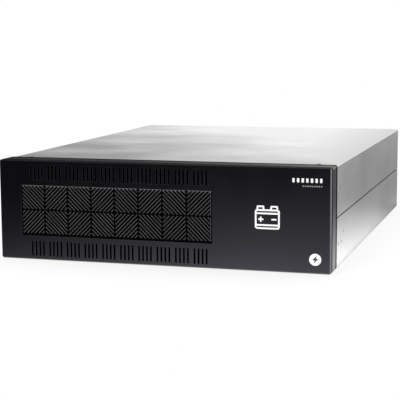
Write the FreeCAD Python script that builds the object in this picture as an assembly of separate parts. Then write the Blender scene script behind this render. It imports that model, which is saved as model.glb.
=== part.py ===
import FreeCAD, Part
import math
import os

# External battery cabinet for a 19 inch rack, 3 units high, lying flat.
# X to the right, Y to the rear, Z up, in millimetres.
# The origin is on the floor under the middle of the whole cabinet.

V = FreeCAD.Vector
ALONG_X, ALONG_Y, ALONG_Z = V(1, 0, 0), V(0, 1, 0), V(0, 0, 1)
SIDES = {"left": -1, "right": 1}

# Overall sizes
BEZEL_W, BEZEL_H, BEZEL_D = 440.0, 131.0, 38.0
FRONT_Y = -310.0
CASE_HALF, CASE_H = 219.0, 130.0
CASE_FRONT, CASE_REAR = FRONT_Y + BEZEL_D, 284.0
SHEET = 1.2
SEAM_Z = 64.8
SEAM_GAP = 1.4
INNER_HALF = CASE_HALF - SHEET
FLANGE_X = 204.5

# Bezel
BEZEL_FLOOR = 0.4
BEZEL_WALL = 3.2
BEZEL_FACE = 3.0
GROOVE_OFFSET, GROOVE_W, GROOVE_DEPTH = 2.0, 5.2, 2.2
REAR_STEP_W, REAR_STEP_DEPTH = 2.0, 1.6
WINDOW = (-189.3, 69.8, 31.8, 98.2)
SLOT_W, SLOT_H, SLOT_PITCH = 2.6, 19.8, 5.3
SLOT_GROUPS, SLOTS_PER_GROUP, GROUP_PITCH = 10, 4, 24.62
FIRST_SLOT_X = -176.6
SLOT_ROWS = (5.3, 104.8)
CATCH_X, CATCH_Y = 195.0, -265.0
TONGUE_HALF, TONGUE_REAR, TONGUE_T = 8.0, -258.0, 1.5

# White inlays of the bezel: battery sign, charge gauge and round badge
INLAY_T, POCKET_T = 0.45, 0.5
SIGN_X, SIGN_Z, SIGN_W, SIGN_H = 124.4, 53.4, 31.5, 24.7
SIGN_LINE, SIGN_BUMP, SIGN_BUMP_W = 2.2, 4.6, 9.9
GAUGE_X, GAUGE_Z, GAUGE_BLOCKS, GAUGE_PITCH = 171.4, 112.6, 7, 5.7
GAUGE_BLOCK = (2.9, 5.2)
TICK_X, TICK_Z, TICKS, TICK_PITCH = 184.0, 107.4, 9, 2.85
TICK = (1.6, 1.6)
BADGE_X, BADGE_Z, BADGE_R = 200.2, 18.2, 7.5

# Grille
GRILLE_COLS, GRILLE_ROWS = 8, 2
GRILLE_EDGE = 2.0
GRILLE_FRONT, GRILLE_T = FRONT_Y + 1.2, 3.8
RIBS_PER_CELL = 6
RIB_SHARE = 0.36
CELL_GROOVE_W, CELL_GROOVE_DEPTH = 2.2, 1.8
CELL_WEB_W = 1.6
FILTER = (-195.0, 74.0, 4.6, 126.4)

# Trays and batteries
TRAY_INNER_X, TRAY_OUTER_X = 2.6, 203.6
TRAY_FLOOR, TRAY_WALL_TOP = 4.0, 50.0
TRAY_PLATE_Y, TRAY_PLATE_T = -273.8, 1.6
TRAY_PLATE_X, TRAY_PLATE_TOP = 212.0, 124.0
TRAY_REAR = 201.2
BATTERY = (65.0, 151.0, 94.0)
BATTERY_X0, BATTERY_Y0 = 4.7, -268.0
BATTERY_PITCH_X, BATTERY_PITCH_Y = 65.6, 152.0
BATTERY_Z = TRAY_FLOOR + SHEET + 0.1
BATTERY_TOP = BATTERY_Z + BATTERY[2]
# Column and row of each battery along the string, from the front inner corner.
STRING = ((0, 0), (0, 1), (0, 2), (1, 2), (1, 1), (1, 0), (2, 0), (2, 1))
CELLS = 6
TAB_INSET = 14.0
TAB_SIDE = 12.0
BAR_Z = BATTERY_TOP + 8.0
LEAD_Z = 113.0

# Catches, screws and the connectors between the trays and the case
THUMB_X, THUMB_Z = 208.5, (28.0, 100.0)
PLUG_X, PLUG_Z = 168.0, 45.0
CROSS_Y, CROSS_TOP = 222.0, 100.0
EAR_HOLES_LOW = ((-258.3, 29.8), (-237.4, 29.8), (-222.8, 40.2))
EAR_HOLE_HIGH = (-246.0, 101.0)
EAR_HOLE_R = 2.1
NUT_BORE_R = 1.7

# Rear fittings
SOCKETS = {"out": -38.0, "in": -120.0}
SOCKET_Z = 41.0
SOCKET_REAR = 310.0
BREAKER_X, BREAKER_Z = (30.0, 110.0), (40.0, 94.0)
TOGGLE_Y, TOGGLE_R, TOGGLE_X = 286.0, 5.0, 70.0
TOGGLE_REST = 28.0
GROUND_X, GROUND_Z, GROUND_R = 190.0, 22.0, 2.5
GROUND_STEP_Y, GROUND_END_Y, GROUND_TIP_R = 288.6, 302.0, 2.0
CABLE_R = 1.8
CABLE_Y, LINK_Y = 250.0, 262.0
CABLE_Z, LINK_Z = 85.0, 112.0
PANEL_SCREWS = ((-211, 20), (-211, 55), (211, 42), (211, 60), (-150, 123), (-50, 123), (50, 123), (150, 123))


def box(x0, x1, y0, y1, z0, z1):
    """A box between two corners."""
    return Part.makeBox(x1 - x0, y1 - y0, z1 - z0, V(x0, y0, z0))


def rod(x, y, z, radius, length, direction):
    """A round bar from a point along a direction."""
    return Part.makeCylinder(radius, length, V(x, y, z), direction)


def mirrored(shape, side):
    """The shape as drawn for the right side, or its mirror image for the left side."""
    if side > 0:
        return shape
    return shape.mirror(V(0, 0, 0), ALONG_X)


def joined(shapes):
    """One solid from touching shapes."""
    return shapes[0].multiFuse(shapes[1:]).removeSplitter()


def edges_along(shape, direction, keep):
    """Straight edges parallel to a direction whose middle point passes a test."""
    found = []
    for edge in shape.Edges:
        if edge.Curve.TypeId != "Part::GeomLine":
            continue
        if abs(edge.tangentAt(edge.FirstParameter).dot(direction)) > 0.999:
            if keep(edge.CenterOfMass):
                found.append(edge)
    return found


def rounded(shape, radius, direction, keep):
    """The shape with some of its straight edges rounded."""
    return shape.makeFillet(radius, edges_along(shape, direction, keep))


def bent_rod(points, radius):
    """A round cable or bar through corner points, with a tangent arc at every corner."""
    pieces = []
    start = points[0]
    for before, corner, after in zip(points, points[1:], points[2:]):
        arrive, leave = corner - before, after - corner
        half_turn = arrive.getAngle(leave) / 2
        trim = 0.45 * min(arrive.Length, leave.Length)
        bend = trim / math.tan(half_turn)
        print("bend radius %.1f mm on a diameter of %.1f mm" % (bend, 2 * radius))
        arrive.normalize()
        leave.normalize()
        enter, depart = corner - arrive * trim, corner + leave * trim
        inward = leave - arrive
        inward.normalize()
        middle = corner + inward * (bend / math.cos(half_turn) - bend)
        pieces.append(Part.LineSegment(start, enter).toShape())
        pieces.append(Part.Arc(enter, middle, depart).toShape())
        start = depart
    pieces.append(Part.LineSegment(start, points[-1]).toShape())
    path = Part.Wire(pieces)
    first = points[1] - points[0]
    ring = Part.Wire([Part.Circle(points[0], first, radius).toShape()])
    solid = path.makePipeShell([ring], True, False)
    expected = math.pi * radius * radius * path.Length
    if abs(solid.Volume - expected) > 0.01 * expected:
        raise ValueError("a bent rod's volume differs from its section times its length")
    return solid


def below_line(polygon, a, b, limit):
    """The part of a flat polygon where a*x + b*z stays under a limit."""
    kept = []
    for (x0, z0), (x1, z1) in zip(polygon, polygon[1:] + polygon[:1]):
        s0, s1 = a * x0 + b * z0 - limit, a * x1 + b * z1 - limit
        if s0 <= 0:
            kept.append((x0, z0))
        if s0 * s1 < 0:
            share = s0 / (s0 - s1)
            kept.append((x0 + share * (x1 - x0), z0 + share * (z1 - z0)))
    return kept


def prism(polygon, y0, y1):
    """A flat X-Z polygon made solid between two Y planes."""
    corners = [V(x, y0, z) for x, z in polygon]
    wire = Part.makePolygon(corners + corners[:1])
    return Part.Face(wire).extrude(V(0, y1 - y0, 0))


def slot_origins():
    """Lower left corner of every ventilation slot of the bezel."""
    for z in SLOT_ROWS:
        for group in range(SLOT_GROUPS):
            for slot in range(SLOTS_PER_GROUP):
                yield FIRST_SLOT_X + group * GROUP_PITCH + slot * SLOT_PITCH, z


def outer_ring(y0, y1, depth):
    """A band around the outside of the bezel, between two Y planes, to be cut to a depth."""
    half = BEZEL_W / 2
    band = box(-half - 1, half + 1, y0, y1, BEZEL_FLOOR - 1, BEZEL_H + 1)
    core = box(-half + depth, half - depth, y0, y1, BEZEL_FLOOR + depth, BEZEL_H - depth)
    return band.cut(core)


def front_bezel():
    """Moulded shell with the grille window, the slots and four forked tongues at the back."""
    half = BEZEL_W / 2
    y1 = CASE_FRONT
    shell = box(-half, half, FRONT_Y, y1, BEZEL_FLOOR, BEZEL_H)
    shell = rounded(shell, 3.0, ALONG_Y, lambda p: True)
    front_edges = [e for e in shell.Edges if abs(e.BoundBox.YMax - FRONT_Y) < 1e-6]
    shell = shell.makeFillet(1.6, front_edges)
    inner_x = half - BEZEL_WALL
    inner_z = (BEZEL_FLOOR + BEZEL_WALL, BEZEL_H - BEZEL_WALL)
    hollow = box(-inner_x, inner_x, FRONT_Y + BEZEL_FACE, y1, *inner_z)
    groove_y = FRONT_Y + GROOVE_OFFSET
    rings = [
        outer_ring(groove_y, groove_y + GROOVE_W, GROOVE_DEPTH),
        outer_ring(y1 - REAR_STEP_W, y1 + 1, REAR_STEP_DEPTH),
    ]
    x0, x1, z0, z1 = WINDOW
    through = [box(x0, x1, FRONT_Y - 1, FRONT_Y + BEZEL_FACE + 1, z0, z1)]
    for x, z in slot_origins():
        through.append(box(x, x + SLOT_W, FRONT_Y - 1, FRONT_Y + BEZEL_FACE + 1, z, z + SLOT_H))
    pockets = [flat_sign(POCKET_T), flat_gauge(POCKET_T), badge_blank(POCKET_T)]
    shell = shell.cut([hollow] + rings + through + pockets)
    return joined([shell] + bezel_tongues())


def rounded_plate(x0, x1, z0, z1, radius, depth):
    """A thin plate flush with the bezel's face, with rounded corners."""
    plate = box(x0, x1, FRONT_Y, FRONT_Y + depth, z0, z1)
    return rounded(plate, radius, ALONG_Y, lambda p: True)


def flat_sign(depth):
    """The battery sign: outlined body and terminals, two bars, a plus and a minus."""
    line = SIGN_LINE
    x0, x1, z0, z1 = SIGN_X, SIGN_X + SIGN_W, SIGN_Z, SIGN_Z + SIGN_H
    body = rounded_plate(x0, x1, z0, z1, 3.2, depth)
    inside = rounded_plate(x0 + line, x1 - line, z0 + line, z1 - line, 1.2, depth)
    pieces = [body.cut(inside)]
    for bump_x in (x0 + 2.1, x1 - 2.1 - SIGN_BUMP_W):
        bump = rounded_plate(bump_x, bump_x + SIGN_BUMP_W, z1 - line, z1 + SIGN_BUMP, 2.0, depth)
        window_top = z1 + SIGN_BUMP - line
        window = box(bump_x + line, bump_x + SIGN_BUMP_W - line, FRONT_Y, FRONT_Y + depth, z1, window_top)
        pieces.append(bump.cut(window))
    for low in (3.9, 18.4):
        pieces.append(box(x0 + 1, x1 - 1, FRONT_Y, FRONT_Y + depth, z0 + low, z0 + low + line))
    outline = joined(pieces)
    plus_x, minus_x, mid_z = x0 + 7.5, x1 - 7.4, z0 + 12.2
    plus = box(plus_x - 3.2, plus_x + 3.2, FRONT_Y, FRONT_Y + depth, mid_z - 1, mid_z + 1)
    plus = plus.fuse(box(plus_x - 1, plus_x + 1, FRONT_Y, FRONT_Y + depth, mid_z - 3.2, mid_z + 3.2))
    minus = box(minus_x - 3.2, minus_x + 3.2, FRONT_Y, FRONT_Y + depth, mid_z - 1, mid_z + 1)
    return Part.makeCompound([outline, plus.removeSplitter(), minus])


def flat_gauge(depth):
    """A row of charge blocks over a row of small ticks."""
    rows = (
        (GAUGE_X, GAUGE_Z, GAUGE_BLOCKS, GAUGE_PITCH, GAUGE_BLOCK),
        (TICK_X, TICK_Z, TICKS, TICK_PITCH, TICK),
    )
    blocks = []
    for first_x, z, count, pitch, (wide, tall) in rows:
        for step in range(count):
            x = first_x + step * pitch
            blocks.append(rounded_plate(x, x + wide, z, z + tall, 0.25 * wide, depth))
    return Part.makeCompound(blocks)


def badge_blank(depth):
    """The round badge without its sign."""
    return rod(BADGE_X, FRONT_Y, BADGE_Z, BADGE_R, depth, ALONG_Y)


def inset(shape):
    """An inlay moved just below the bezel's face."""
    shape.translate(V(0, POCKET_T - INLAY_T - 0.02, 0))
    return shape


def round_badge():
    """White disc with a bolt-shaped opening."""
    x, z = BADGE_X, BADGE_Z
    bolt = [
        (x + 2.1, z + 5.4),
        (x - 3.6, z - 0.9),
        (x - 0.7, z - 0.9),
        (x - 2.1, z - 5.4),
        (x + 3.6, z + 1.1),
        (x + 0.7, z + 1.1),
    ]
    return badge_blank(INLAY_T).cut(prism(bolt, FRONT_Y - 1, FRONT_Y + 2))


def bezel_tongues():
    """Two forked tongues under the cover and two plain ones over the case floor."""
    tongues = []
    root_y = CASE_FRONT - 6
    top = CASE_H - SHEET - 0.2
    low = SHEET + 0.2
    for side in SIDES.values():
        x = side * CATCH_X
        upper = box(x - TONGUE_HALF, x + TONGUE_HALF, root_y, TONGUE_REAR, top - TONGUE_T, top)
        notch = box(x - 2.3, x + 2.3, CATCH_Y - 2.8, TONGUE_REAR, top - TONGUE_T, top)
        tongues.append(upper.cut(notch))
        tongues.append(box(x - TONGUE_HALF, x + TONGUE_HALF, root_y, TONGUE_REAR, low, low + TONGUE_T))
    return tongues


def grille_cells():
    """Corners of every cell of the grille and the way its ribs lean."""
    x0, x1, z0, z1 = WINDOW
    wide = (x1 - GRILLE_EDGE - x0) / GRILLE_COLS
    tall = (z1 - z0 - GRILLE_EDGE) / GRILLE_ROWS
    for col in range(GRILLE_COLS):
        for row in range(GRILLE_ROWS):
            lean = 1 if (col + row) % 2 == 0 else -1
            yield x0 + col * wide, z0 + GRILLE_EDGE + row * tall, wide, tall, lean


def grille_insert():
    """Louvre plate: each cell has diagonal ribs that meet in crosses and diamonds."""
    x0, x1, z0, z1 = WINDOW
    y0, y1 = GRILLE_FRONT, GRILLE_FRONT + GRILLE_T
    plate = box(x0 + 0.2, x1 - 0.2, y0, y1, z0 + 0.2, z1 - 0.2)
    flange = box(x0 - 4, x1 + 4, FRONT_Y + BEZEL_FACE + 0.05, y1, z0 - 4, z1 + 4)
    gaps = []
    grooves = []
    inset = CELL_WEB_W / 2
    for x, z, wide, tall, lean in grille_cells():
        cell = [
            (x + inset, z + inset),
            (x + wide - inset, z + inset),
            (x + wide - inset, z + tall - inset),
            (x + inset, z + tall - inset),
        ]
        a, b = 1 / wide, -lean / tall
        centre = a * (x + wide / 2) + b * (z + tall / 2)
        for step in range(-RIBS_PER_CELL, RIBS_PER_CELL):
            low = centre + (step + RIB_SHARE / 2) / RIBS_PER_CELL
            high = centre + (step + 1 - RIB_SHARE / 2) / RIBS_PER_CELL
            strip = below_line(below_line(cell, a, b, high), -a, -b, -low)
            if len(strip) > 2:
                gaps.append(prism(strip, y0 - 1, y1 + 1))
        grooves.append(groove_box(x, x, z, z + tall))
        grooves.append(groove_box(x, x + wide, z, z))
    grooves.append(box(x1 - GRILLE_EDGE, x1 - 0.2, y0 - 1, y0 + CELL_GROOVE_DEPTH, z0, z1))
    grooves.append(box(x0, x1, y0 - 1, y0 + CELL_GROOVE_DEPTH, z0 + 0.2, z0 + GRILLE_EDGE))
    return plate.fuse(flange).cut(gaps).cut(grooves).removeSplitter()


def groove_box(x0, x1, z0, z1):
    """A shallow groove along a cell border on the front of the grille."""
    half = CELL_GROOVE_W / 2
    front = GRILLE_FRONT
    return box(x0 - half, x1 + half, front - 1, front + CELL_GROOVE_DEPTH, z0 - half, z1 + half)


def dust_filter():
    """Foam pad behind the grille and the slots."""
    x0, x1, z0, z1 = FILTER
    y0 = GRILLE_FRONT + GRILLE_T + 0.1
    return box(x0, x1, y0, y0 + 4.5, z0, z1)


def bezel_catches():
    """Two buttons in the cover that the forked tongues grip."""
    buttons = []
    for side in SIDES.values():
        stem = rod(side * CATCH_X, CATCH_Y, CASE_H - 3.2, 1.9, 3.2, ALONG_Z)
        head = rod(side * CATCH_X, CATCH_Y, CASE_H, 2.7, 0.5, ALONG_Z)
        buttons.append(stem.fuse(head).removeSplitter())
    return Part.makeCompound(buttons)


def ear_bore(side, y, z, x_from, length, radius):
    """A bore through a side wall, drawn from the outside inwards."""
    return rod(side * x_from, y, z, radius, length, V(-side, 0, 0))


def base_chassis():
    """Lower half of the case: floor, side walls, front flanges, rear flanges and lap strips."""
    top = SEAM_Z - SEAM_GAP
    shell = box(-CASE_HALF, CASE_HALF, CASE_FRONT, CASE_REAR, 0, top)
    shell = rounded(shell, 2.2, ALONG_Y, lambda p: p.z < 1)
    hollow = box(-INNER_HALF, INNER_HALF, CASE_FRONT, CASE_REAR, SHEET, top)
    hollow = rounded(hollow, 1.0, ALONG_Y, lambda p: p.z < SHEET + 0.1)
    pieces = [shell.cut(hollow)]
    for side in SIDES.values():
        front = box(FLANGE_X, INNER_HALF + 0.4, CASE_FRONT, CASE_FRONT + SHEET, 0.6, top)
        rear = box(FLANGE_X, INNER_HALF + 0.4, CASE_REAR - 2.6, CASE_REAR - 1.4, 0.6, top)
        strip = box(216.4, INNER_HALF - 0.1, CASE_FRONT + 4, CASE_REAR - 6, 52, 78)
        weld = box(216.4, INNER_HALF + 0.1, CASE_FRONT + 4, CASE_REAR - 6, 52, top - 0.8)
        for piece in (front, rear, strip, weld):
            pieces.append(mirrored(piece, side))
        for x in (46.0, 156.0):
            runner = box(x - 6, x + 6, CASE_FRONT + 6, 196, SHEET - 0.2, TRAY_FLOOR - 0.05)
            pieces.append(mirrored(runner, side))
    base = joined(pieces)
    bores = []
    for side in SIDES.values():
        for y, z in EAR_HOLES_LOW:
            bores.append(ear_bore(side, y, z, CASE_HALF + 1, 3.0, EAR_HOLE_R))
        bores.append(rod(side * THUMB_X, CASE_FRONT - 1, THUMB_Z[0], 2.3, 4, ALONG_Y))
    for x, z in PANEL_SCREWS:
        if z < SEAM_Z:
            bores.append(rod(x, CASE_REAR - 4, z, 1.55, 5, ALONG_Y))
    return base.cut(bores)


def top_cover():
    """Upper half of the case: top, side walls, front flanges and the rear flange."""
    shell = box(-CASE_HALF, CASE_HALF, CASE_FRONT, CASE_REAR, SEAM_Z, CASE_H)
    shell = rounded(shell, 2.2, ALONG_Y, lambda p: p.z > CASE_H - 1)
    under = CASE_H - SHEET
    hollow = box(-INNER_HALF, INNER_HALF, CASE_FRONT, CASE_REAR, SEAM_Z, under)
    hollow = rounded(hollow, 1.0, ALONG_Y, lambda p: p.z > under - 0.1)
    pieces = [shell.cut(hollow)]
    for side in SIDES.values():
        front = box(FLANGE_X, INNER_HALF + 0.4, CASE_FRONT, CASE_FRONT + SHEET, 80, under + 0.4)
        pieces.append(mirrored(front, side))
    pieces.append(box(-FLANGE_X, FLANGE_X, CASE_REAR - 2.6, CASE_REAR - 1.4, 117, under + 0.4))
    cover = joined(pieces)
    bores = []
    for side in SIDES.values():
        y, z = EAR_HOLE_HIGH
        bores.append(ear_bore(side, y, z, CASE_HALF + 1, 3.0, EAR_HOLE_R))
        bores.append(rod(side * THUMB_X, CASE_FRONT - 1, THUMB_Z[1], 2.3, 4, ALONG_Y))
        bores.append(rod(side * CATCH_X, CATCH_Y, under - 1, 1.95, 4, ALONG_Z))
    for x, z in PANEL_SCREWS:
        if z > SEAM_Z:
            bores.append(rod(x, CASE_REAR - 4, z, 1.55, 5, ALONG_Y))
    return cover.cut(bores)


def ear_nuts():
    """Clinch nuts inside the side walls for rack ears."""
    nuts = []
    for side in SIDES.values():
        for y, z in EAR_HOLES_LOW + (EAR_HOLE_HIGH,):
            ring = ear_bore(side, y, z, INNER_HALF - 0.05, 3.6, 3.8)
            nuts.append(ring.cut(ear_bore(side, y, z, INNER_HALF + 1, 6.0, NUT_BORE_R)))
    return Part.makeCompound(nuts)


def rear_panel():
    """Rear plate with vent slots and cut-outs for the breaker, sockets, stud and screws."""
    y0, y1 = CASE_REAR - SHEET, CASE_REAR
    plate = box(-217.3, 217.3, y0, y1, 1.6, 128.4)
    holes = []
    for x, z in PANEL_SCREWS:
        holes.append(rod(x, y0 - 1, z, 1.75, 4, ALONG_Y))
    for x in SOCKETS.values():
        holes.append(box(x - 25.3, x + 25.3, y0 - 1, y1 + 1, SOCKET_Z - 13.3, SOCKET_Z + 13.3))
    holes.append(box(47.0, 93.0, y0 - 1, y1 + 1, 42.0, 92.0))
    holes.append(rod(GROUND_X, y0 - 1, GROUND_Z, GROUND_R + 0.05, 4, ALONG_Y))
    for start in (-196.0, 112.0):
        for column in range(14):
            x = start + column * 6.0
            holes.append(box(x, x + 3, y0 - 1, y1 + 1, 70 if x < 0 else 45, 108))
    return plate.cut(holes)


def crossmember():
    """Upright wall behind the trays that carries the tray sockets and the cable shelf."""
    wall = box(-216, 216, CROSS_Y, CROSS_Y + SHEET, 1.3, CROSS_TOP)
    foot = box(-216, 216, CROSS_Y, CROSS_Y + 12, 1.3, 2.5)
    shelf = box(-216, 216, CROSS_Y, CROSS_Y + 18, CROSS_TOP - SHEET, CROSS_TOP)
    holes = []
    for side in SIDES.values():
        x = side * PLUG_X
        holes.append(box(x - 20.3, x + 20.3, CROSS_Y - 1, CROSS_Y + 3, PLUG_Z - 12.3, PLUG_Z + 12.3))
    for column in range(9):
        x = -100 + column * 25
        holes.append(box(x - 9, x + 9, CROSS_Y - 1, CROSS_Y + 3, 20, 80))
    return joined([wall, foot, shelf]).cut(holes)


def guide_rails():
    """Centre divider and two side angles that guide the trays."""
    y0, y1 = CASE_FRONT + 4, 208.0
    divider = box(-1, 1, y0, y1, 1.3, 45).fuse(box(-14, 14, y0, y1, 1.3, 2.5)).removeSplitter()
    rails = [divider]
    for side in SIDES.values():
        upright = box(204.6, 205.8, y0, y1, 1.3, 30)
        foot = box(204.6, 215.5, y0, y1, 1.3, 2.5)
        rails.append(mirrored(upright.fuse(foot).removeSplitter(), side))
    return Part.makeCompound(rails)


def case_screws():
    """Pan head screws that hold the rear panel to the case."""
    screws = []
    for x, z in PANEL_SCREWS:
        head = rod(x, CASE_REAR + 0.05, z, 3.4, 2.0, ALONG_Y)
        head = head.cut(box(x - 2.2, x + 2.2, CASE_REAR + 1.2, CASE_REAR + 3, z - 0.4, z + 0.4))
        head = head.cut(box(x - 0.4, x + 0.4, CASE_REAR + 1.2, CASE_REAR + 3, z - 2.2, z + 2.2))
        shank = rod(x, CASE_REAR - 8, z, 1.5, 8.5, ALONG_Y)
        screws.append(head.fuse(shank).removeSplitter())
    return Part.makeCompound(screws)


def tray(side):
    """Sheet tray with low walls and a tall front plate."""
    x0, x1 = TRAY_INNER_X, TRAY_OUTER_X
    back = TRAY_PLATE_Y + TRAY_PLATE_T
    floor_top = TRAY_FLOOR + SHEET
    pieces = [
        box(x0, x1, back - 0.2, TRAY_REAR, TRAY_FLOOR, floor_top),
        box(x0, x0 + SHEET, back - 0.2, TRAY_REAR, TRAY_FLOOR, TRAY_WALL_TOP),
        box(x1 - SHEET, x1, back - 0.2, TRAY_REAR, TRAY_FLOOR, TRAY_WALL_TOP),
        box(x0, x1, TRAY_REAR - SHEET, TRAY_REAR, TRAY_FLOOR, 70),
        box(2.0, TRAY_PLATE_X, TRAY_PLATE_Y, back, TRAY_FLOOR, TRAY_PLATE_TOP),
        box(136.5, 200.5, 36, 37.2, floor_top - 0.2, 30),
    ]
    shape = joined(pieces)
    holes = []
    for z in THUMB_Z:
        holes.append(rod(THUMB_X, TRAY_PLATE_Y - 1, z, 2.3, 4, ALONG_Y))
    for column in range(5):
        x = 40 + column * 30
        holes.append(box(x, x + 18, TRAY_PLATE_Y - 1, back + 1, 90, 96))
        holes.append(box(x, x + 18, TRAY_PLATE_Y - 1, back + 1, 102, 108))
    for x in (PLUG_X - 8, PLUG_X + 8):
        holes.append(rod(x, TRAY_REAR - 3, PLUG_Z, 2.2, 6, ALONG_Y))
    for x in (62.0, 152.0):
        holes.append(rod(x, TRAY_PLATE_Y - 1, 55, 2.1, 4, ALONG_Y))
    return mirrored(shape.cut(holes), side)


def tray_handle(side):
    """Bent round bar handle with shouldered ends."""
    front = TRAY_PLATE_Y - 22.0
    z = 55.0
    bar_r = 3.0
    points = [
        V(62, TRAY_PLATE_Y - 0.05, z),
        V(62, front, z),
        V(152, front, z),
        V(152, TRAY_PLATE_Y - 0.05, z),
    ]
    bar = bent_rod(points, bar_r)
    shoulders = []
    for x in (62, 152):
        shoulders.append(rod(x, TRAY_PLATE_Y - 2.05, z, 5.0, 2.0, ALONG_Y))
        shoulders.append(rod(x, TRAY_PLATE_Y - 0.5, z, 2.0, 3.0, ALONG_Y))
    return mirrored(joined([bar] + shoulders), side)


def thumbscrew(side, z):
    """Knurled captive thumbscrew of a tray."""
    knob = rod(THUMB_X, TRAY_PLATE_Y - 11.0, z, 6.0, 9.0, ALONG_Y)
    flutes = []
    for step in range(16):
        angle = step * math.pi / 8
        x, dz = 6.2 * math.cos(angle), 6.2 * math.sin(angle)
        flutes.append(rod(THUMB_X + x, TRAY_PLATE_Y - 12, z + dz, 0.6, 11, ALONG_Y))
    knob = knob.cut(flutes)
    collar = rod(THUMB_X, TRAY_PLATE_Y - 2.05, z, 3.6, 2.0, ALONG_Y)
    shank = rod(THUMB_X, TRAY_PLATE_Y - 3, z, 2.0, 14, ALONG_Y)
    slot = box(THUMB_X - 7, THUMB_X + 7, TRAY_PLATE_Y - 12, TRAY_PLATE_Y - 9.5, z - 0.6, z + 0.6)
    return mirrored(joined([knob, collar, shank]).cut(slot), side)


def battery_origin(position):
    """Lower front inner corner of a battery of the right tray."""
    col, row = position
    return V(BATTERY_X0 + col * BATTERY_PITCH_X, BATTERY_Y0 + row * BATTERY_PITCH_Y, BATTERY_Z)


def battery_shape():
    """Hollow battery case with six cells, a lid line and a raised vent strip."""
    wide, deep, tall = BATTERY
    shape = box(0, wide, 0, deep, 0, tall)
    shape = rounded(shape, 2.5, ALONG_Z, lambda p: True)
    line = box(-1, wide + 1, -1, deep + 1, tall - 8.0, tall - 7.3)
    line = line.cut(box(0.4, wide - 0.4, 0.4, deep - 0.4, tall - 8.0, tall - 7.3))
    cells = []
    span = (deep - 5.0 - 1.5 * (CELLS - 1)) / CELLS
    for cell in range(CELLS):
        y = 2.5 + cell * (span + 1.5)
        cells.append(box(2.5, wide - 2.5, y, y + span, 2.5, tall - 6))
    shape = shape.cut([line] + cells)
    strip = box(24, wide - 14, 30, deep - 30, tall - 0.1, tall + 1.0)
    return shape.fuse(strip).removeSplitter()


def battery(side, position):
    """One battery of a tray."""
    shape = battery_shape()
    shape.translate(battery_origin(position))
    return mirrored(shape, side)


def cell_plates(side):
    """Lead plate stacks inside the batteries of one tray."""
    wide, deep, _ = BATTERY
    span = (deep - 5.0 - 1.5 * (CELLS - 1)) / CELLS
    stacks = []
    for position in STRING:
        origin = battery_origin(position)
        for cell in range(CELLS):
            y = 2.5 + cell * (span + 1.5) + (span - 16.0) / 2
            stack = box(4.5, wide - 4.5, y, y + 16.0, 3.5, 67.5)
            stack.translate(origin)
            stacks.append(mirrored(stack, side))
    return Part.makeCompound(stacks)


def tab_point(position, end):
    """Foot of a battery's front (0) or rear (1) terminal tab."""
    origin = battery_origin(position)
    y = TAB_INSET if end == 0 else BATTERY[1] - TAB_INSET
    return V(origin.x + TAB_SIDE, origin.y + y, BATTERY_TOP)


def tab_post(point):
    """Terminal tab in its connector sleeve."""
    return box(point.x - 2, point.x + 2, point.y - 4, point.y + 4, point.z + 0.1, BAR_Z)


def battery_links(side):
    """Terminal posts and the bars that put the batteries of one tray in series."""
    groups = []
    for index, (here, there) in enumerate(zip(STRING, STRING[1:])):
        end = 1 if here[1] < there[1] or (here[1] == there[1] == 2) else 0
        start = tab_point(here, end)
        finish = tab_point(there, end if here[1] == there[1] else 1 - end)
        x0, x1 = sorted((start.x, finish.x))
        y0, y1 = sorted((start.y, finish.y))
        bar = box(x0 - 4, x1 + 4, y0 - 4, y1 + 4, BAR_Z - 0.1, BAR_Z + 1.4)
        groups.append(joined([tab_post(start), tab_post(finish), bar]))
    for point in lead_posts():
        groups.append(box(point.x - 2, point.x + 2, point.y - 4, point.y + 4, point.z + 0.1, LEAD_Z + 3))
    return Part.makeCompound([mirrored(group, side) for group in groups])


def lead_posts():
    """Free terminals at the two ends of a tray's string."""
    return tab_point(STRING[0], 0), tab_point(STRING[-1], 1)


def tray_leads(side):
    """Two insulated leads from the ends of the string to the tray plug."""
    first, last = lead_posts()
    plug_top = PLUG_Z + 9.2
    long_lead = [
        V(first.x, first.y + 4.1, LEAD_Z),
        V(first.x, 190.0, LEAD_Z),
        V(PLUG_X - 8, 190.0, LEAD_Z),
        V(PLUG_X - 8, 190.0, plug_top),
    ]
    short_lead = [
        V(last.x, last.y + 4.7, LEAD_Z),
        V(PLUG_X + 8, last.y + 99.0, LEAD_Z),
        V(PLUG_X + 8, 190.0, LEAD_Z),
        V(PLUG_X + 8, 190.0, plug_top),
    ]
    leads = [bent_rod(long_lead, CABLE_R), bent_rod(short_lead, CABLE_R)]
    return Part.makeCompound([mirrored(lead, side) for lead in leads])


def tray_plug(side):
    """Plug on the back of a tray, with its wiring block on the inside."""
    x, z = PLUG_X, PLUG_Z
    nose = box(x - 16.5, x + 16.5, TRAY_REAR + 0.05, 224, z - 8.5, z + 8.5)
    nose = rounded(nose, 1.5, ALONG_Y, lambda p: True)
    block = box(x - 16.5, x + 16.5, 183, TRAY_REAR - SHEET - 0.05, z - 9, z + 9)
    pieces = [nose, block]
    for dx in (-8, 8):
        pieces.append(rod(x + dx, 195, z, 2.0, 12, ALONG_Y))
    plug = joined(pieces)
    bores = [rod(x + dx, 209, z, 2.6, 16, ALONG_Y) for dx in (-8, 8)]
    return mirrored(plug.cut(bores), side)


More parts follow.
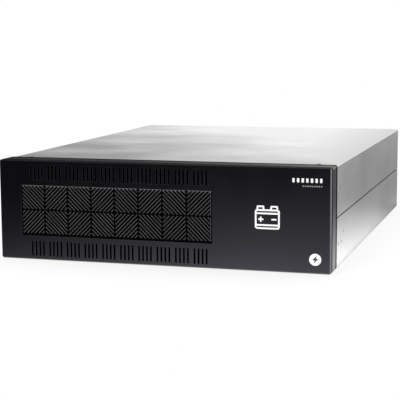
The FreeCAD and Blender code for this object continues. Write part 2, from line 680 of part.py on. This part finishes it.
def dock_socket(side):
    """Floating socket of the crossmember that a tray plug enters, with two contact pins."""
    x, z = PLUG_X, PLUG_Z
    block = box(x - 20, x + 20, 208, 246, z - 12, z + 12)
    ports = box(x - 14, x + 14, 245, 268, z - 12, z + 11.8)
    lip = box(x - 24, x + 24, CROSS_Y + SHEET + 0.1, CROSS_Y + 4, z - 15, z + 15)
    mouth = box(x - 17.1, x + 17.1, 207, 226, z - 9.1, z + 9.1)
    shape = joined([block, ports, lip]).cut(mouth)
    pins = []
    for dx in (-8, 8):
        pins.append(rod(x + dx, 212, z, 2.5, 16, ALONG_Y))
    return mirrored(joined([shape] + pins), side)


def dc_breaker():
    """Three-pole breaker with a raised nose in the panel window."""
    x0, x1 = BREAKER_X
    z0, z1 = BREAKER_Z
    body = box(x0, x1, 231, CASE_REAR - SHEET - 0.2, z0, z1)
    body = rounded(body, 1.5, ALONG_Y, lambda p: True)
    nose = box(48.0, 92.0, 280, 289, 43, 91)
    shape = body.fuse(nose).removeSplitter()
    cuts = [rod(TOGGLE_X, TOGGLE_Y, 45, TOGGLE_R + 0.3, 44, ALONG_Z)]
    cuts.append(box(TOGGLE_X - 15, TOGGLE_X + 15, TOGGLE_Y, 292, 45, 89))
    for z in (58.0, 76.0):
        cuts.append(box(x0 - 1, x1 + 1, 230, 279, z - 0.3, z + 0.3))
    for x in (x0, x1 - 8):
        for z in (49.0, 67.0, CABLE_Z):
            cuts.append(rod(x - 1 if x == x0 else x, CABLE_Y, z, 2.4, 9, ALONG_X))
    return shape.cut(cuts)


def breaker_toggle():
    """Three ganged levers on one hub."""
    hub = rod(TOGGLE_X, TOGGLE_Y, 45.3, TOGGLE_R, 43.4, ALONG_Z)
    lever = box(TOGGLE_X - 2.5, TOGGLE_X + 2.5, TOGGLE_Y, 301, 47, 87)
    lever = rounded(lever, 2.0, ALONG_Z, lambda p: p.y > 300)
    toggle = hub.fuse(lever).removeSplitter()
    toggle.rotate(V(TOGGLE_X, TOGGLE_Y, 0), ALONG_Z, TOGGLE_REST)
    return toggle


def fuse_holder():
    """Block with two clips for a cartridge fuse, on the front of the rear compartment."""
    base = box(-140, -80, 240, 246, 76, 94)
    clips = [
        box(-140, -128, 240, 256, 76, 94),
        box(-92, -80, 240, 256, 76, 94),
    ]
    holder = joined([base] + clips)
    seat = rod(-130.5, 252, CABLE_Z, 5.15, 41, ALONG_X)
    ports = [rod(-141, CABLE_Y, CABLE_Z, 2.4, 6, ALONG_X), rod(-86, CABLE_Y, CABLE_Z, 2.4, 7, ALONG_X)]
    return holder.cut([seat] + ports)


def fuse():
    """Cartridge fuse."""
    barrel = rod(-129, 252, CABLE_Z, 4.6, 38, ALONG_X)
    caps = [rod(x, 252, CABLE_Z, 5.05, 9, ALONG_X) for x in (-129.2, -99.8)]
    return joined([barrel] + caps)


def power_socket(x):
    """Panel socket with two deep mouths and a collar on the outside."""
    z = SOCKET_Z
    body = box(x - 25, x + 25, 242, SOCKET_REAR, z - 13, z + 13)
    body = rounded(body, 2.0, ALONG_Y, lambda p: True)
    collar = box(x - 30, x + 30, CASE_REAR + 0.1, CASE_REAR + 3, z - 18, z + 18)
    collar = rounded(collar, 3.0, ALONG_Y, lambda p: True)
    shape = body.fuse(collar).removeSplitter()
    cuts = []
    for dx in (-12, 12):
        cuts.append(box(x + dx - 8.5, x + dx + 8.5, 272, SOCKET_REAR + 1, z - 8.5, z + 8.5))
        cuts.append(box(x + dx - 1.05, x + dx + 1.05, 264, 273, z - 6.05, z + 6.05))
    for dx in (-8, 8):
        cuts.append(rod(x + dx, CABLE_Y, z + 8, 2.4, 6, ALONG_Z))
    return shape.cut(cuts)


def socket_contacts():
    """Blades inside the two power sockets."""
    blades = []
    for x in SOCKETS.values():
        for dx in (-12, 12):
            blades.append(box(x + dx - 1, x + dx + 1, 265, 300, SOCKET_Z - 6, SOCKET_Z + 6))
    return Part.makeCompound(blades)


def ground_stud():
    """Earth stud through the rear panel, with a slimmer end behind its nut."""
    inner_y = CASE_REAR - 8
    stud = rod(GROUND_X, inner_y, GROUND_Z, GROUND_R, GROUND_STEP_Y - inner_y, ALONG_Y)
    tip = rod(GROUND_X, inner_y, GROUND_Z, GROUND_TIP_R, GROUND_END_Y - inner_y, ALONG_Y)
    head = rod(GROUND_X, inner_y, GROUND_Z, 4.5, 6.7, ALONG_Y)
    return joined([stud, tip, head])


def ground_nut():
    """Hexagon nut on the earth stud."""
    corners = []
    for step in range(6):
        angle = step * math.pi / 3
        corners.append((GROUND_X + 4.6 * math.cos(angle), GROUND_Z + 4.6 * math.sin(angle)))
    nut = prism(corners, CASE_REAR + 0.1, CASE_REAR + 4.1)
    return nut.cut(rod(GROUND_X, CASE_REAR - 1, GROUND_Z, GROUND_R + 0.05, 8, ALONG_Y))


def feed_cables():
    """Leads from the right dock to the breaker and from the breaker to the socket."""
    dock_top, socket_top = PLUG_Z + 12.0, SOCKET_Z + 9.0
    out_x = SOCKETS["out"] + 8
    runs = [
        [V(160, CABLE_Y, dock_top), V(160, CABLE_Y, CABLE_Z), V(104, CABLE_Y, CABLE_Z)],
        [V(36, CABLE_Y, CABLE_Z), V(out_x, CABLE_Y, CABLE_Z), V(out_x, CABLE_Y, socket_top)],
    ]
    return Part.makeCompound([bent_rod(points, CABLE_R) for points in runs])


def return_cables():
    """Link between the docks and leads from the left dock through the fuse to the socket."""
    dock_top, socket_top = PLUG_Z + 12.0, SOCKET_Z + 9.0
    out_x = SOCKETS["out"] - 8
    runs = [
        [
            V(176, LINK_Y, dock_top),
            V(176, LINK_Y, LINK_Z),
            V(-160, LINK_Y, LINK_Z),
            V(-160, LINK_Y, dock_top),
        ],
        [V(-176, CABLE_Y, dock_top), V(-176, CABLE_Y, CABLE_Z), V(-137, CABLE_Y, CABLE_Z)],
        [V(-83, CABLE_Y, CABLE_Z), V(out_x, CABLE_Y, CABLE_Z), V(out_x, CABLE_Y, socket_top)],
    ]
    return Part.makeCompound([bent_rod(points, CABLE_R) for points in runs])


def cable_clips():
    """Clips on the crossmember's shelf that hold the link between the docks."""
    clips = []
    for x in (-120.0, -20.0, 140.0):
        post = box(x - 3, x + 3, CROSS_Y + 6, CROSS_Y + 16, CROSS_TOP + 0.05, LINK_Z + 6)
        arm = box(x - 3, x + 3, CROSS_Y + 6, LINK_Y + 6, LINK_Z - 5, LINK_Z + 6)
        clip = post.fuse(arm).removeSplitter()
        clips.append(clip.cut(rod(x - 4, LINK_Y, LINK_Z, CABLE_R + 0.1, 8, ALONG_X)))
    return Part.makeCompound(clips)


def all_parts():
    """Every sub-part by its node name."""
    parts = {
        "front_bezel": front_bezel(),
        "grille_insert": grille_insert(),
        "dust_filter": dust_filter(),
        "battery_sign": inset(flat_sign(INLAY_T)),
        "charge_gauge": inset(flat_gauge(INLAY_T)),
        "round_badge": inset(round_badge()),
        "bezel_catches": bezel_catches(),
        "top_cover": top_cover(),
        "base_chassis": base_chassis(),
        "rear_panel": rear_panel(),
        "crossmember": crossmember(),
        "guide_rails": guide_rails(),
        "ear_nuts": ear_nuts(),
        "case_screws": case_screws(),
        "dc_breaker": dc_breaker(),
        "breaker_toggle": breaker_toggle(),
        "fuse_holder": fuse_holder(),
        "fuse": fuse(),
        "socket_contacts": socket_contacts(),
        "ground_stud": ground_stud(),
        "ground_nut": ground_nut(),
        "feed_cables": feed_cables(),
        "return_cables": return_cables(),
        "cable_clips": cable_clips(),
    }
    for name, x in SOCKETS.items():
        parts["power_socket_" + name] = power_socket(x)
    for name, side in SIDES.items():
        parts["tray_" + name] = tray(side)
        parts["tray_handle_" + name] = tray_handle(side)
        parts["cell_plates_" + name] = cell_plates(side)
        parts["battery_links_" + name] = battery_links(side)
        parts["tray_leads_" + name] = tray_leads(side)
        parts["tray_plug_" + name] = tray_plug(side)
        parts["dock_socket_" + name] = dock_socket(side)
        for level, z in zip(("low", "high"), THUMB_Z):
            parts["thumbscrew_%s_%s" % (name, level)] = thumbscrew(side, z)
        for number, position in enumerate(STRING, 1):
            parts["battery_%s_%d" % (name, number)] = battery(side, position)
    return parts


os.makedirs("parts", exist_ok=True)
for node, shape in all_parts().items():
    if not shape.isValid():
        raise ValueError(node + " is not a valid shape")
    shape.exportStep("parts/" + node + ".step")
    print(node, len(shape.Solids), "solids", round(shape.Volume / 1000, 2), "cm3")
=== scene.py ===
import math

import bpy
from mathutils import Matrix, Vector

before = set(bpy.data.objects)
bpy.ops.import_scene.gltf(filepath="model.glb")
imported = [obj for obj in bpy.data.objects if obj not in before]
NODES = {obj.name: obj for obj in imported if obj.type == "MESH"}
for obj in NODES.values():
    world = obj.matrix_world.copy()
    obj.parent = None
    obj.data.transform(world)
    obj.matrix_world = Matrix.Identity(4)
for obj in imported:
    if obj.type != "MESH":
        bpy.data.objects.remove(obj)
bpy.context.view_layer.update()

# Looks of the rack battery cabinet: materials for the CAD nodes, floor, light and camera.
# Lengths are metres in the frame: X to the right, Y to the rear, Z up.

SIDES = ("left", "right")

# Where the masks begin and end on the bezel
RIB_FRONT_Y = (-0.3086, -0.3081)
GROOVE_Y = (-0.3081, -0.3027)
BEZEL_REAR_Y = (-0.2812, -0.2809)
RIB_TIP_Z = (0.0955, 0.0972)
TICK_Z = (0.1050, 0.1105)
RIM_RIGHT_X = (0.2180, 0.2188)
RIM_BOTTOM_Z = (0.0012, 0.0020)
RIM_FRONT_Y = (-0.3090, -0.3084)

# Where the masks begin and end on the steel shells
SEAM_Z = (0.0632, 0.0650)
SHEET_FRONT_Y = (-0.2717, -0.2714)

MASK_BLUR = 0.0003
# Black of the painted shade in recesses, gaps and seams
PAINTED_SHADE_BLACK = (0.002, 0.002, 0.0022, 1)

# The floor under and around the cabinet
FLOOR_SIZE = 14
FLOOR_DROP = 0.0002
CABINET_FRONT_Y = (-0.314, -0.304)
CABINET_SIDE_X = (0.213, 0.226)
CABINET_REAR_Y = (0.30, 0.32)


def node(tree, kind, **values):
    """A shader node with its properties and unlinked inputs set."""
    made = tree.nodes.new(kind)
    for key, value in values.items():
        if key in made.inputs:
            made.inputs[key].default_value = value
        else:
            setattr(made, key, value)
    return made


def new_tree(name):
    """An empty material and its node tree with an output."""
    material = bpy.data.materials.new(name)
    material.use_nodes = True
    tree = material.node_tree
    tree.nodes.clear()
    return material, tree, node(tree, "ShaderNodeOutputMaterial")


def noise(tree, scale, stretch=(1, 1, 1), detail=3.0):
    """Noise in the frame's own coordinates, stretched along some axes."""
    where = node(tree, "ShaderNodeTexCoord")
    place = node(tree, "ShaderNodeMapping")
    place.inputs["Scale"].default_value = stretch
    grain = node(tree, "ShaderNodeTexNoise", Scale=scale, Detail=detail, Roughness=0.55)
    tree.links.new(where.outputs["Object"], place.inputs["Vector"])
    tree.links.new(place.outputs["Vector"], grain.inputs["Vector"])
    return grain.outputs["Fac"]


def spread(tree, value, low, high, start=0.3, end=0.7):
    """A value mapped from start..end to low..high, and held outside."""
    mapped = node(tree, "ShaderNodeMapRange")
    mapped.inputs["From Min"].default_value = start
    mapped.inputs["From Max"].default_value = end
    mapped.inputs["To Min"].default_value = low
    mapped.inputs["To Max"].default_value = high
    tree.links.new(value, mapped.inputs["Value"])
    return mapped.outputs["Result"]


def combine(tree, operation, first, second):
    """Two values, or a value and a number, put through a maths operation."""
    made = node(tree, "ShaderNodeMath", operation=operation)
    for place, value in enumerate((first, second)):
        if isinstance(value, bpy.types.NodeSocket):
            tree.links.new(value, made.inputs[place])
        else:
            made.inputs[place].default_value = value
    return made.outputs[0]


def blend_colours(tree, factor, first, second):
    """A colour between two others."""
    mix = node(tree, "ShaderNodeMix", data_type="RGBA")
    tree.links.new(factor, mix.inputs["Factor"])
    for socket, colour in ((mix.inputs[6], first), (mix.inputs[7], second)):
        if isinstance(colour, bpy.types.NodeSocket):
            tree.links.new(colour, socket)
        else:
            socket.default_value = (*colour, 1)
    return mix.outputs[2]


def blend_shaders(tree, factor, first, second):
    """A shader between two others."""
    mix = node(tree, "ShaderNodeMixShader")
    for place, link in enumerate((factor, first, second)):
        tree.links.new(link, mix.inputs[place])
    return mix.outputs[0]


def split_axes(tree, vector):
    """The X, Y and Z outputs of a vector."""
    axes = node(tree, "ShaderNodeSeparateXYZ")
    tree.links.new(vector, axes.inputs[0])
    return axes.outputs


def along(tree, axis):
    """The frame's own X, Y or Z at the shaded point, in metres."""
    return split_axes(tree, node(tree, "ShaderNodeTexCoord").outputs["Object"])[axis]


def facing(tree, axis):
    """How far the surface faces along X, Y or Z."""
    return split_axes(tree, node(tree, "ShaderNodeNewGeometry").outputs["Normal"])[axis]


def upward(tree):
    """White on surfaces that face up."""
    return spread(tree, facing(tree, "Z"), 0, 1, 0.3, 0.8)


def edge_mask(tree, radius):
    """White along sharp edges, black on flat faces."""
    bevel = node(tree, "ShaderNodeBevel", Radius=radius)
    plain = node(tree, "ShaderNodeNewGeometry")
    dot = node(tree, "ShaderNodeVectorMath", operation="DOT_PRODUCT")
    tree.links.new(bevel.outputs["Normal"], dot.inputs[0])
    tree.links.new(plain.outputs["Normal"], dot.inputs[1])
    return spread(tree, dot.outputs["Value"], 1, 0, 0.86, 0.995)


def band(tree, value, low, high):
    """White where a value lies between two others."""
    above = spread(tree, value, 0, 1, low, low + MASK_BLUR)
    below = spread(tree, value, 1, 0, high - MASK_BLUR, high)
    return combine(tree, "MULTIPLY", above, below)


def painted_grille_shade(tree):
    """White behind the front faces of the grille's ribs, where the grille is painted black as shade.
    """
    return spread(tree, along(tree, "Y"), 0, 1, *RIB_FRONT_Y)


def painted_rib_tip_highlight(tree):
    """White on the top ends of the grille's ribs, painted lighter as a highlight from above."""
    return spread(tree, along(tree, "Z"), 0, 1, *RIB_TIP_Z)


def gauge_ticks(tree):
    """White on the small ticks under the charge blocks."""
    return band(tree, along(tree, "Z"), *TICK_Z)


def painted_bezel_shade(tree):
    """White in the groove behind the face and along the rear edge, turned black as painted shade;
    grey on the left of the top, painted shade darkening it.
    """
    y = along(tree, "Y")
    groove_shade = combine(tree, "MAXIMUM", band(tree, y, *GROOVE_Y), spread(tree, y, 0, 1, *BEZEL_REAR_Y))
    left = spread(tree, along(tree, "X"), 0.25, 0, -0.22, -0.05)
    return combine(tree, "MAXIMUM", groove_shade, combine(tree, "MULTIPLY", upward(tree), left))


def painted_rim_highlight(tree):
    """White on the right and bottom edges of the bezel's face, where a lighter colour is painted on
    as a highlight.
    """
    right = spread(tree, along(tree, "X"), 0, 1, *RIM_RIGHT_X)
    bottom = spread(tree, along(tree, "Z"), 0.7, 0, *RIM_BOTTOM_Z)
    front = spread(tree, along(tree, "Y"), 1, 0, *RIM_FRONT_Y)
    return combine(tree, "MULTIPLY", combine(tree, "MAXIMUM", right, bottom), front)


def bezel_sides(tree):
    """The roughness of the bezel's top and sides; its face keeps its own gloss."""
    frontal = combine(tree, "ABSOLUTE", facing(tree, "Y"), 0)
    turned = spread(tree, frontal, 0.30, 0, 0.2, 0.6)
    left = spread(tree, along(tree, "X"), 0.95, 0.5, -0.05, 0.22)
    return combine(tree, "MAXIMUM", turned, combine(tree, "MULTIPLY", upward(tree), left))


def painted_seam_shade(tree):
    """White in the gap between the cover and the chassis and on the sheets' front edges: painted
    shade, turned black.
    """
    gap = band(tree, along(tree, "Z"), *SEAM_Z)
    return combine(tree, "MAXIMUM", gap, spread(tree, along(tree, "Y"), 1, 0, *SHEET_FRONT_Y))


def smudges_and_painted_shade(tree):
    """White where the top sheet is painted darker and duller: soft clouds, partly smudges and partly
    painted shade, either side of a bright stripe kept as a painted reflection.
    """
    cloud = spread(tree, noise(tree, 9.0, (0.7, 1.0, 1.0)), -0.10, 0.10)
    slant = combine(tree, "MULTIPLY", along(tree, "Y"), 0.8)
    across = combine(tree, "ADD", along(tree, "X"), slant)
    left = spread(tree, combine(tree, "ADD", across, cloud), 1, 0, -0.34, 0.13)
    # Painted shade: the top darkens towards its right edge
    right = spread(tree, along(tree, "X"), 0, 0.35, 0.11, 0.22)
    return combine(tree, "MULTIPLY", combine(tree, "MAXIMUM", left, right), upward(tree))


def surface(name, colour, second, metallic=0.0, rough=(0.4, 0.5), blotch=6.0, stretch=(1, 1, 1),
            rough_scale=None, grain=1800.0, grain_stretch=(1, 1, 1), depth=0.00002, bump=0.25,
            edge=None, specular=0.5, painted_shade=None, marks_and_painted_light=None, duller=None):
    """A finish with patches of colour, uneven gloss and fine relief.

    edge is the width and colour of a painted highlight along the edges. painted_shade is a mask that
    turns the finish black as painted shade.
    marks_and_painted_light is a mask with the colour and the extra roughness under it: print, painted
    highlights and painted shade. duller gives the least roughness at a point.
    """
    material, tree, out = new_tree(name)
    shader = node(tree, "ShaderNodeBsdfPrincipled", Metallic=metallic)
    shader.inputs["Specular IOR Level"].default_value = specular
    tone = blend_colours(tree, spread(tree, noise(tree, blotch, stretch), 0, 1), colour, second)
    # Painted highlight: a lighter colour along the edges
    if edge:
        tone = blend_colours(tree, edge_mask(tree, edge[0]), tone, edge[1])
    gloss = spread(tree, noise(tree, rough_scale or blotch * 3, stretch, 2.0), *rough)
    # A colour painted under a mask: print, painted highlights and painted shade, as each finish gives
    if marks_and_painted_light:
        mask = marks_and_painted_light[0](tree)
        tone = blend_colours(tree, mask, tone, marks_and_painted_light[1])
        gloss = combine(tree, "ADD", gloss, combine(tree, "MULTIPLY", mask, marks_and_painted_light[2]))
    if duller:
        gloss = combine(tree, "MAXIMUM", gloss, duller(tree))
    relief = node(tree, "ShaderNodeBump", Strength=bump, Distance=depth)
    tree.links.new(noise(tree, grain, grain_stretch, 2.0), relief.inputs["Height"])
    tree.links.new(tone, shader.inputs["Base Color"])
    tree.links.new(gloss, shader.inputs["Roughness"])
    tree.links.new(relief.outputs["Normal"], shader.inputs["Normal"])
    finish = shader.outputs["BSDF"]
    # Painted shade: a black diffuse finish mixed in under the mask
    if painted_shade:
        black = node(tree, "ShaderNodeBsdfDiffuse", Color=PAINTED_SHADE_BLACK)
        finish = blend_shaders(tree, painted_shade(tree), finish, black.outputs[0])
    tree.links.new(finish, out.inputs["Surface"])
    return material


def paint(material, *names):
    """Gives a material to CAD nodes."""
    for name in names:
        NODES[name].data.materials.clear()
        NODES[name].data.materials.append(material)


def each_side(pattern):
    """A node name for the left and the right side."""
    return [pattern % side for side in SIDES]


# Front
# The bezel: painted shade in its groove, along its rear edge and on the left of its top; painted
# highlights on its edges and on the right and bottom rims of its face
paint(
    surface("bezel_black", (0.0014, 0.0014, 0.0026), (0.0024, 0.0024, 0.0040), rough=(0.20, 0.27),
            blotch=9, grain=2600, depth=0.000012, bump=0.10, edge=(0.0006, (0.045, 0.045, 0.048)),
            painted_shade=painted_bezel_shade, marks_and_painted_light=(painted_rim_highlight, (0.17, 0.17, 0.18), 0.2), duller=bezel_sides),
    "front_bezel",
)
# The grille: painted shade behind the ribs' front faces; painted highlights on the ribs' top ends and
# edges
paint(
    surface("grille_black", (0.036, 0.036, 0.038), (0.048, 0.048, 0.050), rough=(0.42, 0.55),
            blotch=40, grain=2600, depth=0.000015, bump=0.2, edge=(0.0003, (0.075, 0.075, 0.078)),
            specular=0.2, painted_shade=painted_grille_shade, marks_and_painted_light=(painted_rib_tip_highlight, (0.16, 0.16, 0.17), 0.0)),
    "grille_insert",
)
paint(
    surface("filter_foam", (0.0008, 0.0008, 0.0009), (0.0022, 0.0022, 0.0024), rough=(0.9, 0.98),
            blotch=300, grain=700, depth=0.0008, bump=1.0, specular=0.0),
    "dust_filter",
)
paint(
    surface("inlay_white", (0.90, 0.90, 0.90), (0.95, 0.95, 0.95), blotch=60, grain=2200,
            depth=0.00001, bump=0.1, marks_and_painted_light=(gauge_ticks, (0.30, 0.30, 0.31), 0.0)),
    "battery_sign", "round_badge", "charge_gauge",
)
paint(
    surface("moulded_black", (0.012, 0.012, 0.012), (0.02, 0.02, 0.02), rough=(0.4, 0.52),
            blotch=50, grain=2400, edge=(0.0004, (0.04, 0.04, 0.04))),
    "bezel_catches", "cable_clips", "fuse_holder", "power_socket_out", "power_socket_in",
    *each_side("dock_socket_%s"),
)

# Steel
# The steel shells: painted shade in the seam and on the front edges; near-white painted highlight
# along the edges; darker, duller clouds on the top, partly smudges and partly painted shade, around a
# bright stripe of painted reflection
paint(
    surface("zinc_sheet", (0.70, 0.70, 0.70), (0.84, 0.84, 0.84), metallic=1.0, rough=(0.26, 0.36),
            blotch=7.0, stretch=(1.0, 0.7, 1.4), rough_scale=7, grain=900,
            grain_stretch=(0.05, 1.6, 1.6), depth=0.00003, bump=0.12,
            edge=(0.0008, (0.97, 0.97, 0.97)), painted_shade=painted_seam_shade,
            marks_and_painted_light=(smudges_and_painted_shade, (0.30, 0.30, 0.30), 0.26)),
    "top_cover", "base_chassis",
)
paint(
    surface("zinc_sheet_inner", (0.5, 0.51, 0.52), (0.62, 0.625, 0.63), metallic=1.0,
            rough=(0.36, 0.5), blotch=9, stretch=(0.5, 2.0, 1.0), grain=900,
            grain_stretch=(0.08, 1.5, 1.5), depth=0.00003, bump=0.2,
            edge=(0.0005, (0.75, 0.75, 0.75))),
    "rear_panel", "crossmember", "guide_rails", *each_side("tray_%s"),
)
paint(
    surface("bright_zinc", (0.62, 0.62, 0.60), (0.74, 0.74, 0.72), metallic=1.0,
            rough=(0.22, 0.36), blotch=120, grain=1500, bump=0.2,
            edge=(0.0003, (0.85, 0.85, 0.84))),
    "case_screws", "ear_nuts", "ground_nut",
)
paint(
    surface("powder_black", (0.010, 0.010, 0.010), (0.018, 0.018, 0.018), rough=(0.42, 0.55),
            blotch=60, grain=1300, depth=0.00006, bump=0.4, edge=(0.0005, (0.05, 0.05, 0.05))),
    *each_side("tray_handle_%s"),
)
paint(
    surface("nickel", (0.66, 0.65, 0.62), (0.76, 0.75, 0.72), metallic=1.0, rough=(0.14, 0.26),
            blotch=150, grain=1500, bump=0.15, edge=(0.0003, (0.88, 0.87, 0.85))),
    *each_side("thumbscrew_%s_low"), *each_side("thumbscrew_%s_high"),
)

# Batteries, leads and switchgear
paint(
    surface("battery_grey", (0.055, 0.058, 0.064), (0.075, 0.078, 0.084), rough=(0.45, 0.6),
            blotch=25, grain=1500, depth=0.00004, bump=0.3, edge=(0.0008, (0.12, 0.125, 0.13))),
    *["battery_%s_%d" % (side, number) for side in SIDES for number in range(1, 9)],
)
paint(
    surface("lead", (0.16, 0.16, 0.175), (0.24, 0.24, 0.26), metallic=1.0, rough=(0.5, 0.7),
            blotch=80, grain=500, depth=0.0002, bump=0.5),
    *each_side("cell_plates_%s"),
)
paint(
    surface("brass", (0.62, 0.44, 0.18), (0.78, 0.60, 0.28), metallic=1.0, rough=(0.24, 0.4),
            blotch=90, grain=1200, bump=0.2, edge=(0.0003, (0.9, 0.74, 0.42))),
    "socket_contacts", "ground_stud", *each_side("battery_links_%s"),
)
paint(
    surface("insulation_red", (0.36, 0.012, 0.010), (0.46, 0.020, 0.016), rough=(0.4, 0.55),
            blotch=60, grain=900, depth=0.00005, bump=0.3),
    "feed_cables", *each_side("tray_leads_%s"),
)
paint(
    surface("insulation_black", (0.010, 0.010, 0.010), (0.018, 0.018, 0.018), rough=(0.4, 0.55),
            blotch=60, grain=900, depth=0.00005, bump=0.3),
    "return_cables",
)
paint(
    surface("plug_grey", (0.07, 0.07, 0.07), (0.1, 0.1, 0.1), rough=(0.25, 0.38), blotch=60,
            grain=2000, bump=0.2, edge=(0.0004, (0.16, 0.16, 0.16))),
    *each_side("tray_plug_%s"),
)
paint(
    surface("breaker_white", (0.58, 0.58, 0.56), (0.66, 0.66, 0.64), rough=(0.38, 0.5), blotch=40,
            grain=2000, bump=0.2, edge=(0.0005, (0.74, 0.74, 0.72))),
    "dc_breaker",
)
paint(
    surface("toggle_black", (0.012, 0.012, 0.013), (0.018, 0.018, 0.019), rough=(0.2, 0.32),
            blotch=80, grain=2200, depth=0.00001, bump=0.15, edge=(0.0005, (0.05, 0.05, 0.05))),
    "breaker_toggle",
)
paint(
    surface("fuse_tube", (0.72, 0.70, 0.64), (0.80, 0.78, 0.72), rough=(0.2, 0.32), blotch=90,
            grain=1500, depth=0.00001, bump=0.15),
    "fuse",
)


def mirror_strength(tree, x, y):
    """How bright the floor looks in the cabinet's gloss: brightest close by and on the right."""
    before = spread(tree, y, 1, 0, *CABINET_FRONT_Y)
    close = spread(tree, y, 0, 0.45, -0.44, -0.32)
    fade = combine(tree, "ADD", spread(tree, y, 0.04, 1.2, -1.15, -0.40), close)
    ahead = combine(tree, "MULTIPLY", fade, spread(tree, x, 0.06, 0.96, -0.40, 0.10))

    across = combine(tree, "ABSOLUTE", x, 0)
    far = spread(tree, y, 0, 0.12, 0.6, 1.5)
    beside = combine(tree, "ADD", spread(tree, y, 1.02, 0.25, -0.22, 0.27), far)
    beside = combine(tree, "MULTIPLY", beside, spread(tree, across, 1.35, 0.92, 0.25, 0.33))
    clear = combine(tree, "MAXIMUM", spread(tree, across, 0, 1, *CABINET_SIDE_X),
                    spread(tree, y, 0, 1, *CABINET_REAR_Y))
    behind = combine(tree, "MULTIPLY", spread(tree, y, 0, 0.6, 0.31, 0.34),
                     spread(tree, across, 1, 0, 0.20, 0.24))
    around = combine(tree, "ADD", combine(tree, "MULTIPLY", beside, clear), behind)
    around = combine(tree, "MULTIPLY", around, spread(tree, y, 0, 1, *CABINET_FRONT_Y))
    return combine(tree, "ADD", combine(tree, "MULTIPLY", ahead, before), around)


def make_floor():
    """Pale floor that turns white far out, with its own brightness in reflections."""
    material, tree, out = new_tree("floor_pale")
    x, y = along(tree, "X"), along(tree, "Y")
    matt = node(tree, "ShaderNodeBsdfDiffuse", Color=(0.86, 0.86, 0.86, 1))
    glow = node(tree, "ShaderNodeEmission", Strength=1.0)
    away = node(tree, "ShaderNodeVectorMath", operation="LENGTH")
    tree.links.new(node(tree, "ShaderNodeTexCoord").outputs["Object"], away.inputs[0])
    far_out = spread(tree, away.outputs["Value"], 0.75, 1.0, 0.3, 0.6)
    seen = blend_shaders(tree, far_out, matt.outputs[0], glow.outputs[0])
    mirror = node(tree, "ShaderNodeEmission")
    tree.links.new(mirror_strength(tree, x, y), mirror.inputs["Strength"])
    before = spread(tree, y, 1, 0, *CABINET_FRONT_Y)
    tree.links.new(blend_colours(tree, before, (1, 1, 1), (1.0, 0.97, 1.13)), mirror.inputs["Color"])
    glossy = node(tree, "ShaderNodeLightPath").outputs["Is Glossy Ray"]
    tree.links.new(blend_shaders(tree, glossy, seen, mirror.outputs[0]), out.inputs["Surface"])
    bpy.ops.mesh.primitive_plane_add(size=FLOOR_SIZE, location=(0, 0, -FLOOR_DROP))
    floor = bpy.context.object
    floor.name = "floor"
    floor.data.materials.append(material)


def make_world():
    """White to the camera; to the object bright to the rear and high up, dim low in front."""
    world = bpy.data.worlds.new("studio")
    bpy.context.scene.world = world
    world.use_nodes = True
    tree = world.node_tree
    tree.nodes.clear()
    axes = split_axes(tree, node(tree, "ShaderNodeTexCoord").outputs["Generated"])
    rear = spread(tree, axes["Y"], 0.02, 1.12, -0.5, 0.8)
    high = combine(tree, "MULTIPLY", spread(tree, axes["Y"], 1, 0, -0.4, 0.1),
                   spread(tree, axes["Z"], 0, 0.7, 0.12, 0.40))
    light = node(tree, "ShaderNodeBackground", Color=(1, 1, 1, 1))
    tree.links.new(combine(tree, "MAXIMUM", rear, high), light.inputs["Strength"])
    white = node(tree, "ShaderNodeBackground", Color=(1, 1, 1, 1), Strength=1.0)
    camera_ray = node(tree, "ShaderNodeLightPath").outputs["Is Camera Ray"]
    both = blend_shaders(tree, camera_ray, light.outputs[0], white.outputs[0])
    tree.links.new(both, node(tree, "ShaderNodeOutputWorld").inputs["Surface"])


def soft_box(name, place, target, size, power):
    """A square area light aimed at a point."""
    data = bpy.data.lights.new(name, "AREA")
    data.shape = "RECTANGLE"
    data.size = data.size_y = size
    data.energy = power
    lamp = bpy.data.objects.new(name, data)
    bpy.context.scene.collection.objects.link(lamp)
    lamp.location = place
    lamp.rotation_euler = (Vector(target) - Vector(place)).to_track_quat("-Z", "Y").to_euler()
    return lamp


def make_camera(place, yaw, pitch, roll, lens):
    """Camera at a place, turned by yaw, tipped down by pitch and leant by roll, in degrees."""
    yaw, pitch, roll = (math.radians(angle) for angle in (yaw, pitch, roll))
    level = Matrix(((1, 0, 0), (0, 0, -1), (0, 1, 0)))
    turn = Matrix(((math.cos(yaw), math.sin(yaw), 0),
                   (-math.sin(yaw), math.cos(yaw), 0),
                   (0, 0, 1)))
    tip = Matrix(((1, 0, 0),
                  (0, math.cos(pitch), -math.sin(pitch)),
                  (0, math.sin(pitch), math.cos(pitch))))
    lean = Matrix(((math.cos(roll), -math.sin(roll), 0),
                   (math.sin(roll), math.cos(roll), 0),
                   (0, 0, 1)))
    right, down, forward = (lean @ tip @ level @ turn)
    data = bpy.data.cameras.new("camera")
    data.sensor_width = 36
    data.lens = lens
    data.clip_end = 50
    camera = bpy.data.objects.new("camera", data)
    bpy.context.scene.collection.objects.link(camera)
    aim = Matrix((right, -down, -forward)).transposed()
    camera.matrix_world = Matrix.Translation(place) @ aim.to_4x4()
    bpy.context.scene.camera = camera


make_floor()
make_world()
top_box = soft_box("top_box", (0.3, 0.5, 1.9), (0, 0, 0.1), 1.8, 22)
soft_box("side_box", (1.7, -0.9, 1.2), (0.2, 0, 0.05), 1.0, 3)
front_box = soft_box("front_box", (-0.5, -2.2, 1.3), (0, -0.3, 0.05), 1.2, 30)
top_box.visible_glossy = False
front_box.visible_glossy = False
make_camera((0.4870, -1.7281, 0.2972), yaw=16.98, pitch=8.08, roll=-0.39, lens=108.2)
bpy.context.scene.view_settings.view_transform = "Standard"
